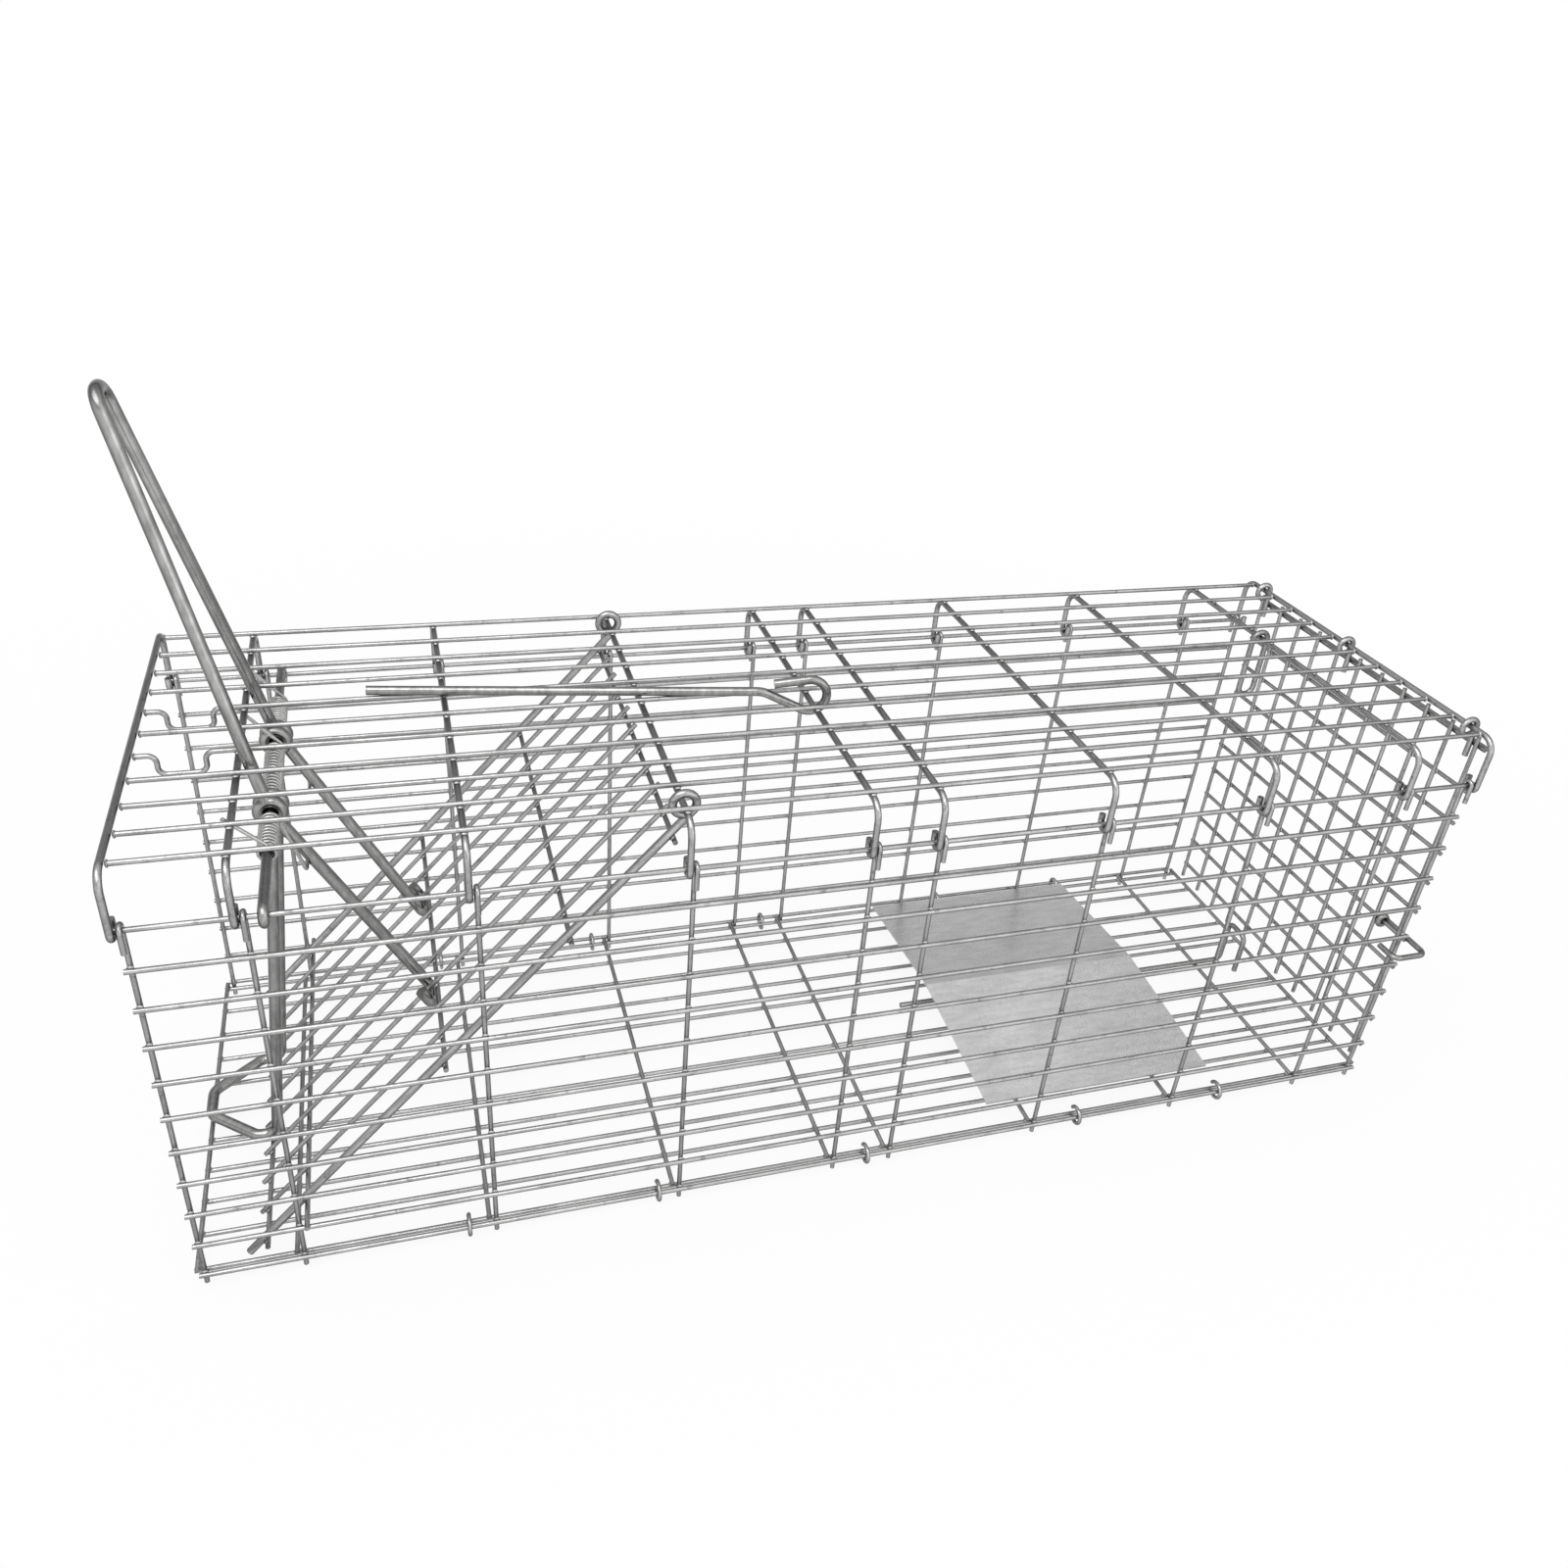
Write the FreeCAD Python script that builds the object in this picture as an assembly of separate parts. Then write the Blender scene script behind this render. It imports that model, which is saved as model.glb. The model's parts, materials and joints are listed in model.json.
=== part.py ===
import FreeCAD, Part
import math
import os

os.makedirs("parts", exist_ok=True)

V = FreeCAD.Vector

# Wire sizes, millimetres
mesh_wire = 2.2
cross_wire = 2.9
door_wire = 2.2
door_side_wire = 3.6
frame_bar = 5.2
eye_wire = 5.0
axle_wire = 4.0
rod_wire = 4.2
link_wire = 3.0
spring_wire = 1.6
clip_wire = 2.0
treadle_wire = 3.0
bar_wire = 3.4
rear_loop_wire = 2.9

# Clearances and welds that all pieces share
run_gap = 0.08
free_gap = 0.36
weld_bite = 0.04
cut_overrun = 2.0

# Cage
cage_length = 602.0
side_y = 98.0
top_z = 218.0
side_top_drop = 25.0
side_low_z = 6.6
side_row_count = 11
side_row_over = 1.0
upright_hook = 9.0
upright_shift = 3.0
top_inset = 5.6
top_row_count = 11
bottom_z = 5.2
bottom_row_count = 11
cross_shares = (-0.861, -0.587, -0.303, -0.044, 0.055, 0.322, 0.596, 0.858)
flange_bend = 7.6
hook_end = 3.2
hook_slack = 1.0
dip_start = 11.6
dip_length = 18.0
dip_depth = 9.0
dip_bend = 3.4
dip_rows = (4, 6)
clip_shares = (-0.617, -0.327, 0.022, 0.414, 0.698)
clip_open_deg = 50.0
stop_gap = 0.43
stop_over = 3.0

# Lever, lock frame and their axle
axle_offset = 10.0
eye_gap = 1.05
leg_lane_shift = 1.75
bail_length = 164.5
bail_lean_deg = 13.4
bail_tip_y = 7.6
bail_tip_bend = 7.4
foot_reach = 13.0
foot_bend = 4.0
foot_return = 10.0
foot_past_wire = 6.0
foot_gap = 0.45
lock_reach = 20.0
lock_floor_gap = 0.84
lock_foot_length = 30.4
lock_bend = 6.0
lock_straight = 9.0
lock_tip_y = 8.0
lock_tip_bend = 7.0

# Springs
coil_radius = 3.3
lever_coil_gap = 3.3
lever_coil_turns = 11
lever_coil_pitch = 2.2
lock_coil_gap = 2.85
lock_coil_turns = 16
tail_reach = 30.0
tail_cross = 8.6
tail_bend = 2.6
tail_anchor_extra = 2.4
tail_pass_deg = 222.0
quarters_per_turn = 4

# Entry door
door_foot_reach = 29.0
door_foot_gap = 2.1
door_rows = 11
door_side_gap = 4.44
door_cross_over = 3.5
door_start = 9.0
door_eye_radius = 4.9
door_eye_lift = 1.3
door_first_cross = 13.5
door_last_inset = 2.5
door_side_over = 6.0
door_cross_shares = (0.271, 0.557)
lane_rows = (6, 7)
eye_open_deg = 40.0

# Hold-down rod
rod_rows = (4, 5)
rod_tip_row = 6
rod_tip_over = 1.6
rod_length = 198.0
rod_rest_gap = 0.01
rod_under_gap = 0.55
rod_loop_radius = 8.0
rod_loop_ahead = 1.2
rod_loop_from_deg = -116.0
rod_loop_to_deg = 98.0
rod_knee_bend = 12.0
rod_tail_length = 16.0

# Trigger catch
catch_rows = (6, 7)
catch_radius = 4.6
catch_drop = 28.4
catch_gap = 0.3

# Treadle
plate_length = 132.0
plate_rear_gap = 50.0
plate_side_gap = 9.0
plate_ridge_rise = 12.0
plate_edge_rise = 4.0
plate_gauge = 1.0
lug_shares = (0.21, 0.83)
lug_gauge = 1.4
lug_half = 5.0
lug_low = 3.2
treadle_lead = 14.0
treadle_past_catch = 16.0
treadle_rise = 28.0
treadle_fall = 3.0
treadle_step_y = 15.0
treadle_bend = 4.0

# Rear door
rear_ring_gap = 0.36
rear_ring_slack = 0.9
rear_col_count = 11
rear_col_inset = 7.2
rear_low_z = 8.0
rear_top_drop = 5.0
rear_bar_drop = 5.0
rear_row_over = 3.75
rear_loop_gap = 1.05
rear_loop_cols = (5, 6)
rear_loop_tail = 16.0

# Rear latch
latch_row = 4
latch_eye_gap = 0.7
latch_side_gap = 0.34
latch_grip_gap = 4.6
latch_tip_past = 4.0
latch_bend = 4.0

# Wire radii and the steps from one welded layer to the next
mesh_r = mesh_wire / 2
cross_r = cross_wire / 2
door_r = door_wire / 2
door_side_r = door_side_wire / 2
bar_r = frame_bar / 2
eye_r = eye_wire / 2
axle_r = axle_wire / 2
rod_r = rod_wire / 2
link_r = link_wire / 2
spring_r = spring_wire / 2
clip_r = clip_wire / 2
treadle_r = treadle_wire / 2
loop_r = rear_loop_wire / 2
mesh_step = mesh_wire - weld_bite
cross_step = mesh_r + cross_r - weld_bite

# Derived places of the cage
cage_rear = cage_length / 2
cage_front = -cage_rear
cross_x = [cage_front + cross_r]
cross_x.extend(cage_rear * share for share in cross_shares)
cross_x.append(cage_rear - cross_r)
side_high_z = top_z - side_top_drop
side_row_step = (side_high_z - side_low_z) / (side_row_count - 1)
upright_y = side_y - mesh_step
flange_y = side_y + cross_step
hook_y = side_y - cross_step - hook_slack
hook_radius = (flange_y - hook_y) / 2
top_half = side_y - top_inset
cross_z = top_z - cross_step
bottom_half = upright_y - mesh_step
bottom_cross_z = bottom_z + mesh_step
floor_z = bottom_cross_z + mesh_r
door_hinge_x, rod_hinge_x, catch_x, rear_hinge_x = cross_x[3], cross_x[4], cross_x[8], cross_x[9]


def save(name, shapes):
    """Write one node."""
    if not isinstance(shapes, (list, tuple)):
        shapes = [shapes]
    shape = shapes[0] if len(shapes) == 1 else Part.makeCompound(list(shapes))
    shape.exportStep("parts/" + name + ".step")


def rod(a, b, radius):
    """A straight wire from a to b."""
    axis = b - a
    return Part.makeCylinder(radius, axis.Length, a, axis)


def pipe(edges, radius):
    """A round wire along tangent edges."""
    first = edges[0]
    start = first.valueAt(first.FirstParameter)
    along = first.tangentAt(first.FirstParameter)
    ring = Part.Wire([Part.makeCircle(radius, start, along)])
    return Part.Wire(edges).makePipeShell([ring], True, False)


def rounded(points, bends):
    """Lines through the points with an arc at each inner corner."""
    if not isinstance(bends, (list, tuple)):
        bends = [bends] * (len(points) - 2)
    edges = []
    start = points[0]
    for i, bend in enumerate(bends):
        corner = points[i + 1]
        back = (points[i] - corner).normalize()
        ahead = (points[i + 2] - corner).normalize()
        half = back.getAngle(ahead) / 2
        cut = bend / math.tan(half)
        a = corner + back * cut
        b = corner + ahead * cut
        inward = (back + ahead).normalize()
        middle = corner + inward * (bend / math.sin(half) - bend)
        edges.append(Part.makeLine(start, a))
        edges.append(Part.Arc(a, middle, b).toShape())
        start = b
    edges.append(Part.makeLine(start, points[-1]))
    return edges


def bent(points, bends, radius):
    return pipe(rounded(points, bends), radius)


def turn_point(centre, radius, angle_deg, y):
    """A point on a circle about an axis along Y; zero is +X, ninety is +Z."""
    a = math.radians(angle_deg)
    return V(centre.x + radius * math.cos(a), y, centre.z + radius * math.sin(a))


def arc_edge(centre, radius, from_deg, to_deg, y):
    middle = (from_deg + to_deg) / 2
    ends = [turn_point(centre, radius, a, y) for a in (from_deg, middle, to_deg)]
    return Part.Arc(*ends).toShape()


def mirror_y(shape):
    return shape.mirror(V(0, 0, 0), V(0, 1, 0))


def spread(half, count):
    return [-half + 2 * half * i / (count - 1) for i in range(count)]


def lane(rows, pair):
    """The middle of the gap between two neighbouring rows."""
    return (rows[pair[0]] + rows[pair[1]]) / 2


# Top panel: lengthwise wires over the transverse ones, butted to the first and the last
top_rows = spread(top_half, top_row_count)
top_start = cross_x[0] + cross_step
top_end = cross_x[-1] - cross_step
dip_front_x = cage_front + dip_start
dip_rear_x = dip_front_x + dip_length
straight = []
dipped = []
for i, y in enumerate(top_rows):
    a = V(top_start, y, top_z)
    b = V(top_end, y, top_z)
    if i in dip_rows:
        low = top_z - dip_depth
        path = [a, V(dip_front_x, y, top_z), V(dip_front_x, y, low),
                V(dip_rear_x, y, low), V(dip_rear_x, y, top_z), b]
        dipped.append(bent(path, dip_bend, mesh_r))
    else:
        straight.append(rod(a, b, mesh_r))
save("top_long_wires", straight)
save("top_dipped_wires", dipped)


def top_cross(x, z):
    """A transverse top wire, turned down at both sides and hooked under the side wire."""
    edges = []
    start = V(x, 0, z)
    knee = V(x, flange_y, z)
    drop = V(x, flange_y, side_high_z)
    half = rounded([start, knee, drop], flange_bend)
    under = V(x, hook_y + hook_radius, side_high_z - hook_radius)
    inner = V(x, hook_y, side_high_z)
    half.append(Part.Arc(drop, under, inner).toShape())
    half.append(Part.makeLine(inner, inner + V(0, 0, hook_end)))
    for edge in reversed(half):
        flipped = mirror_y(edge)
        edges.append(flipped)
    edges.extend(half)
    wire = Part.Wire(Part.__sortEdges__(edges))
    tip = V(x, -hook_y, side_high_z + hook_end)
    ring = Part.Wire([Part.makeCircle(cross_r, tip, V(0, 0, 1))])
    return wire.makePipeShell([ring], True, False)


front_cross = [top_cross(cross_x[0], top_z)]
front_cross.extend(top_cross(x, cross_z) for x in cross_x[1:3])
save("top_cross_front", front_cross)
save("door_hinge_wire", top_cross(door_hinge_x, cross_z))
save("rod_hinge_wire", top_cross(rod_hinge_x, cross_z))
save("top_cross_rear", [top_cross(x, cross_z) for x in cross_x[5:8]])
save("catch_wire", top_cross(catch_x, cross_z))
save("rear_hinge_wire", top_cross(rear_hinge_x, top_z))

# Side panels: the uprights stand inside and are turned over the top wire
side_rows = [side_low_z + side_row_step * i for i in range(side_row_count)]
upright_x = [x + upright_shift for x in cross_x[:-1]] + [cross_x[-1] - upright_shift]
side_ends = [upright_x[-1] + mesh_r + side_row_over] * (side_row_count - 1) + [cage_rear]


def upright(x, sign):
    """A side upright, its top end turned outwards over the side's top wire."""
    foot = V(x, sign * upright_y, 0)
    inner = V(x, sign * upright_y, side_high_z)
    over = V(x, sign * side_y, side_high_z + mesh_step)
    outer = V(x, sign * (side_y + mesh_step), side_high_z)
    edges = [Part.makeLine(foot, inner), Part.Arc(inner, over, outer).toShape(),
             Part.makeLine(outer, outer - V(0, 0, upright_hook))]
    return pipe(edges, mesh_r)


for name, sign in (("near", -1), ("far", 1)):
    rows = []
    for z, row_end in zip(side_rows, side_ends):
        rows.append(rod(V(-row_end, sign * side_y, z), V(row_end, sign * side_y, z), mesh_r))
    save("side_long_" + name, rows)
    save("side_uprights_" + name, [upright(x, sign) for x in upright_x])

# Bottom panel
bottom_rows = spread(bottom_half, bottom_row_count)
save("bottom_long_wires", [rod(V(cage_front, y, bottom_z), V(cage_rear, y, bottom_z), mesh_r)
                           for y in bottom_rows])
bottom_cross = []
for x in cross_x:
    bottom_cross.append(rod(V(x, -upright_y, bottom_cross_z), V(x, upright_y, bottom_cross_z), mesh_r))
save("bottom_cross_wires", bottom_cross)

# Closing clips around the side's lowest wire and the bottom's edge wire
clip_y = (side_y + bottom_half) / 2
clip_z = (side_low_z + bottom_z) / 2
clip_span = math.hypot(side_y - bottom_half, side_low_z - bottom_z)
clip_radius = clip_span / 2 + mesh_r + clip_r - weld_bite
clips = []
for share in clip_shares:
    for sign in (-1, 1):
        centre = V(cage_rear * share, sign * clip_y, clip_z)
        gap = math.radians(clip_open_deg) / 2
        ends = []
        for a in (gap, math.pi, 2 * math.pi - gap):
            ends.append(centre + V(0, clip_radius * math.cos(a) * -sign, clip_radius * math.sin(a)))
        clips.append(pipe([Part.Arc(*ends).toShape()], clip_r))
save("bottom_clips", clips)

# Lever axle, its ends curled around the side's top wires
pivot_x = cross_x[1] + axle_offset
axle_z = side_high_z + mesh_r + axle_r - weld_bite
pivot = V(pivot_x, 0, axle_z)
ring_r = axle_r + run_gap + eye_r
axle_hook = axle_z - side_high_z
hook_edges = []
for sign in (1, -1):
    top = V(pivot_x, sign * side_y, axle_z)
    out = V(pivot_x, sign * (side_y + axle_hook), side_high_z)
    low = V(pivot_x, sign * side_y, side_high_z - axle_hook)
    hook_edges.append(Part.Arc(top, out, low).toShape())
axle_edges = [hook_edges[0], Part.makeLine(V(pivot_x, side_y, axle_z), V(pivot_x, -side_y, axle_z)),
              hook_edges[1]]
axle_spine = Part.Wire(Part.__sortEdges__(axle_edges))
axle_start = V(pivot_x, side_y, side_high_z - axle_hook)
axle_ring = Part.Wire([Part.makeCircle(axle_r, axle_start, V(0, 1, 0))])
save("lever_axle", axle_spine.makePipeShell([axle_ring], True, False))

# Entry door, drawn closed: from its hinge wire down to the floor in front of the axle
hinge = V(door_hinge_x, 0, cross_z)
door_foot = V(pivot_x - door_foot_reach, 0, floor_z + door_foot_gap)
door_end = (door_foot - hinge).Length
along = (door_foot - hinge).normalize()
front = V(along.z, 0, -along.x)


def on_door(s, n, y):
    """A point s down the door, n to its front side of the hinge line."""
    return hinge + along * s + front * n + V(0, y, 0)


door_eye = hinge + V(0, 0, door_eye_lift)
door_side_n = (door_eye - hinge).dot(front) - door_eye_radius
under_n = door_side_n - (door_side_r + door_r - weld_bite)
door_n = under_n + door_wire - weld_bite
door_cross_half = upright_y - mesh_r - door_side_gap
door_ys = spread(door_cross_half - door_cross_over, door_rows)
door_cross_s = [door_first_cross]
door_cross_s.extend(door_end * share for share in door_cross_shares)
door_cross_s.append(door_end - door_last_inset)
save("door_long_wires", [rod(on_door(door_start, door_n, y), on_door(door_end, door_n, y), door_r)
                         for y in door_ys[1:-1]])
door_cross = []
for s in door_cross_s:
    start = on_door(s, under_n, -door_cross_half)
    door_cross.append(rod(start, start + V(0, 2 * door_cross_half, 0), door_r))
save("door_cross_wires", door_cross)
side_wires = []
for y in (door_ys[0], door_ys[-1]):
    base = math.degrees(math.atan2(-front.z, -front.x))
    swing = 360 - eye_open_deg
    edge = arc_edge(door_eye, door_eye_radius, base + swing, base, y)
    side_foot = on_door(door_end + door_side_over, door_side_n, y)
    line = Part.makeLine(turn_point(door_eye, door_eye_radius, base, y), side_foot)
    spine = Part.Wire(Part.__sortEdges__([edge, line]))
    ring = Part.Wire([Part.makeCircle(door_side_r, side_foot, along)])
    side_wires.append(spine.makePipeShell([ring], True, False))
save("door_side_wires", side_wires)

# Door stop: on the side wires second from the bottom, just inside the closed door
stop_z = side_rows[1] + mesh_step
stop_n = door_n - door_r - stop_gap - mesh_r
stop_x = hinge.x + (stop_n - (stop_z - hinge.z) * front.z) / front.x
stop_half = side_y + stop_over
save("door_stop_wire", rod(V(stop_x, -stop_half, stop_z), V(stop_x, stop_half, stop_z), mesh_r))

# Lever: bail, eyes and legs from one bar, feet under the door's wires
lock_y = lane(door_ys, lane_rows)
lever_y = lock_y + frame_bar + eye_gap
leg_end_y = lock_y + leg_lane_shift
foot_outer_y = leg_end_y + foot_reach
foot_n = door_n - door_r - foot_gap - bar_r
foot = on_door(door_cross_s[2] + foot_past_wire, foot_n, 0)
leg_axis = (foot - pivot).normalize()
leg_radius = (foot - pivot).Length
lean = math.radians(bail_lean_deg)
bail_axis = V(-math.sin(lean), 0, math.cos(lean))


def torus(y, centre, ring, radius):
    return Part.makeTorus(ring, radius, V(centre.x, y, centre.z), V(0, 1, 0))


leg_top = pivot + leg_axis * (ring_r - weld_bite)
knee = pivot + leg_axis * leg_radius
leg_path = [leg_top + V(0, lever_y, 0), knee + V(0, leg_end_y, 0), knee + V(0, foot_outer_y, 0),
            knee - leg_axis * foot_return + V(0, foot_outer_y, 0)]
leg = bent(leg_path, foot_bend, bar_r)
bail_low = pivot + bail_axis * (ring_r - weld_bite)
bail_high = pivot + bail_axis * bail_length
bail_path = [bail_low + V(0, lever_y, 0), bail_high + V(0, bail_tip_y, 0),
             bail_high + V(0, -bail_tip_y, 0), bail_low + V(0, -lever_y, 0)]
bail = bent(bail_path, bail_tip_bend, bar_r)
eye = torus(lever_y, pivot, ring_r, eye_r)
lever = bail.fuse([leg, mirror_y(leg), eye, mirror_y(eye)])
save("lever_bar", lever.removeSplitter())

# Lock frame: arms down to the floor, foot out of the entry
lock_end = V(pivot_x - lock_reach, 0, floor_z + lock_floor_gap + bar_r)
lock_tip = lock_end - V(lock_foot_length, 0, 0)
lock_axis = (lock_end - pivot).normalize()
lock_top = pivot + lock_axis * (ring_r - weld_bite)
lock_path = []
for sign in (1, -1):
    side = [lock_top + V(0, sign * lock_y, 0), lock_end + V(0, sign * lock_y, 0),
            lock_end + V(-lock_straight, sign * lock_y, 0), lock_tip + V(0, sign * lock_tip_y, 0)]
    lock_path.extend(side if sign > 0 else reversed(side))
lock_bends = [lock_bend, lock_bend, lock_tip_bend, lock_tip_bend, lock_bend, lock_bend]
lock_eye = torus(lock_y, pivot, ring_r, eye_r)
lock = bent(lock_path, lock_bends, bar_r).fuse([lock_eye, mirror_y(lock_eye)])
save("lock_frame", lock.removeSplitter())


# Springs: curls of biarcs, a quarter turn each, with two straight tails
def half_biarc(start, tangent, end):
    chord = end - start
    unit = V(chord).normalize()
    lift = tangent - unit * tangent.dot(unit)
    lift.normalize()
    sag = chord.Length / 2 * math.tan(tangent.getAngle(unit) / 2)
    return Part.Arc(start, (start + end) / 2 + lift * sag, end).toShape()


def biarc(p0, t0, p1, t1):
    span = p1 - p0
    total = t0 + t1
    spread_of_tangents = 2 * (1 - t0.dot(t1))
    root = math.sqrt(span.dot(total) ** 2 + spread_of_tangents * span.dot(span))
    reach = (root - span.dot(total)) / spread_of_tangents
    middle = (p0 + p1 + (t0 - t1) * reach) / 2
    return [half_biarc(p0, t0, middle), half_biarc(p1, t1 * -1, middle)]


def tangent_angle(target, clockwise):
    """Angle on the coil circle from which a tangent line reaches the target."""
    dx = target.x - pivot.x
    dz = target.z - pivot.z
    reach = math.hypot(dx, dz)
    base = math.degrees(math.atan2(dz, dx))
    open_deg = math.degrees(math.acos(coil_radius / reach))
    return base + open_deg if clockwise else base - open_deg


def coil(y0, y1, turns, first_target, first_y, last_target, last_extra):
    """A torsion spring about the axle from y0 to y1.

    The first tail ends across a bar at first_target; the last tail runs past last_target."""
    a0 = tangent_angle(first_target, True)
    a1 = tangent_angle(last_target, False)
    sweep = a1 - a0
    while sweep < 360 * turns:
        sweep += 360
    steps = int(round(sweep / 360 * quarters_per_turn))
    rise = (y1 - y0) / math.radians(sweep)
    edges = []
    points = []
    slopes = []
    for i in range(steps + 1):
        a = a0 + sweep * i / steps
        points.append(turn_point(pivot, coil_radius, a, y0 + (y1 - y0) * i / steps))
        r = math.radians(a)
        slopes.append(V(-coil_radius * math.sin(r), rise, coil_radius * math.cos(r)).normalize())
    for i in range(steps):
        edges.extend(biarc(points[i], slopes[i], points[i + 1], slopes[i + 1]))
    head = V(first_target.x, points[0].y, first_target.z)
    arm = head - points[0]
    head = points[0] - slopes[0] * arm.Length
    side = math.copysign(tail_cross, first_y - head.y)
    lead = rounded([head + V(0, side, 0), head, points[0]], tail_bend)
    tail_length = math.hypot(last_target.x - points[-1].x, last_target.z - points[-1].z) + last_extra
    last = Part.makeLine(points[-1], points[-1] + slopes[-1] * tail_length)
    solid = pipe(lead + edges + [last], spring_r)
    return solid, points, sweep


def beside(axis, reach):
    """A place in front of a bar that leaves the pivot along the axis."""
    ahead = V(axis.z, 0, -axis.x)
    return pivot + axis * reach + ahead * (bar_r + spring_r + free_gap)


lever_coil_start_y = lever_y + bar_r + lever_coil_gap + spring_r
lock_coil_half = lock_y - bar_r - lock_coil_gap - spring_r
held_by = V(cross_x[1], 0, cross_z)
anchor = turn_point(held_by, cross_r + spring_r + free_gap, tail_pass_deg, 0)
lever_tail = beside(leg_axis, tail_reach)
lock_tail = beside(lock_axis, tail_reach)
lever_coil_end = lever_coil_start_y + lever_coil_turns * lever_coil_pitch
spring, lever_points, lever_sweep = coil(lever_coil_start_y, lever_coil_end, lever_coil_turns,
                                         lever_tail, lever_y, anchor, tail_anchor_extra)
save("lever_spring_far", spring)
save("lever_spring_near", mirror_y(spring))
lock_spring, lock_points, lock_sweep = coil(-lock_coil_half, lock_coil_half, lock_coil_turns,
                                            lock_tail, -lock_y, anchor, tail_anchor_extra)
save("lock_spring", lock_spring)
measured = (("lever spring", lever_points, lever_sweep), ("lock spring", lock_points, lock_sweep))
for name, pts, sweep in measured:
    turn_rise = (pts[-1].y - pts[0].y) / (sweep / 360)
    near = min((pts[i] - pts[i + quarters_per_turn]).Length for i in range(len(pts) - quarters_per_turn))
    print(name, "curls", round(sweep / 360, 2), "rise", round(turn_rise, 2),
          "least gap", round(near - spring_wire, 2))

# Hold-down rod: lies askew over the top wires and loops loosely under and over its own wire
rod_start = V(rod_hinge_x, lane(top_rows, rod_rows), 0)
rod_side = top_rows[rod_tip_row] + rod_tip_over - rod_start.y
rod_way = V(-math.sqrt(rod_length ** 2 - rod_side ** 2), rod_side, 0).normalize()
rod_level = top_z + mesh_r + rod_rest_gap + rod_r
loop_low = cross_z - cross_r - rod_under_gap - rod_r
loop_mid_z = loop_low + rod_loop_radius


def on_rod(ahead, z):
    """A point in the rod's own upright plane, ahead of its wire."""
    return rod_start + rod_way * ahead + V(0, 0, z)


def on_loop(angle_deg):
    """A point on the rod's loop; zero is behind the wire, ninety is above it."""
    a = math.radians(angle_deg)
    return on_rod(rod_loop_ahead - rod_loop_radius * math.cos(a), loop_mid_z + rod_loop_radius * math.sin(a))


loop_from = on_loop(rod_loop_from_deg)
loop_to = on_loop(rod_loop_to_deg)
loop_middle = on_loop((rod_loop_from_deg + rod_loop_to_deg) / 2)
rod_slope = math.radians(-90 - rod_loop_from_deg)
knee_past_loop = (rod_level - loop_from.z) / math.tan(rod_slope)
knee_ahead = (loop_from - rod_start).dot(rod_way) + knee_past_loop
rod_edges = rounded([on_rod(rod_length, rod_level), on_rod(knee_ahead, rod_level), loop_from], rod_knee_bend)
rod_edges.append(Part.Arc(loop_from, loop_middle, loop_to).toShape())
fall = math.radians(rod_loop_to_deg - 90)
tail_way = rod_way * math.cos(fall) - V(0, 0, math.sin(fall))
rod_edges.append(Part.makeLine(loop_to, loop_to + tail_way * rod_tail_length))
save("hold_down_rod", pipe(rod_edges, rod_r))

# Trigger catch: a long link hung on its wire
catch_y = lane(top_rows, catch_rows)
c = V(catch_x, 0, cross_z + cross_r + catch_gap + link_r - catch_radius)
low = c - V(0, 0, catch_drop)
left = V(-catch_radius, catch_y, 0)
right = V(catch_radius, catch_y, 0)
catch_edges = [arc_edge(c, catch_radius, 0, 180, catch_y), Part.makeLine(c + left, low + left),
               arc_edge(low, catch_radius, 180, 360, catch_y), Part.makeLine(low + right, c + right)]
spine = Part.Wire(Part.__sortEdges__(catch_edges))
ring = Part.Wire([Part.makeCircle(link_r, c + right, V(0, 0, 1))])
save("trigger_catch", spine.makePipeShell([ring], True, False))

# Treadle: ridged plate, two lugs, and the wire it rocks on
treadle_z = floor_z + treadle_r - weld_bite
plate_rear = catch_x - plate_rear_gap
plate_front = plate_rear - plate_length
plate_half = upright_y - mesh_r - plate_side_gap
outline = []
for y, rise in ((-plate_half, plate_edge_rise), (0, plate_ridge_rise), (plate_half, plate_edge_rise)):
    outline.append(V(plate_front, y, treadle_z + rise))
outline.extend([p + V(0, 0, plate_gauge) for p in reversed(outline)])
outline.append(outline[0])
plate = Part.Face(Part.makePolygon(outline)).extrude(V(plate_length, 0, 0))
save("treadle_plate", plate)
lugs = []
for share in lug_shares:
    corner = V(plate_front + plate_length * share, -lug_half, treadle_z - lug_low)
    lug = Part.makeBox(lug_gauge, 2 * lug_half, lug_low + plate_ridge_rise, corner)
    start = V(corner.x - cut_overrun, 0, treadle_z)
    hole = Part.makeCylinder(treadle_r + run_gap, lug_gauge + 2 * cut_overrun, start, V(1, 0, 0))
    lugs.append(lug.cut(hole).cut(plate))
save("treadle_lugs", lugs)
step_x = catch_x + treadle_past_catch
step_z = treadle_z + treadle_rise
step_path = [V(plate_front - treadle_lead, 0, treadle_z), V(step_x, 0, treadle_z),
             V(step_x, 0, step_z), V(step_x, -treadle_step_y, step_z),
             V(step_x, -treadle_step_y, treadle_z + treadle_fall)]
save("treadle_wire", bent(step_path, treadle_bend, treadle_r))

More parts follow.
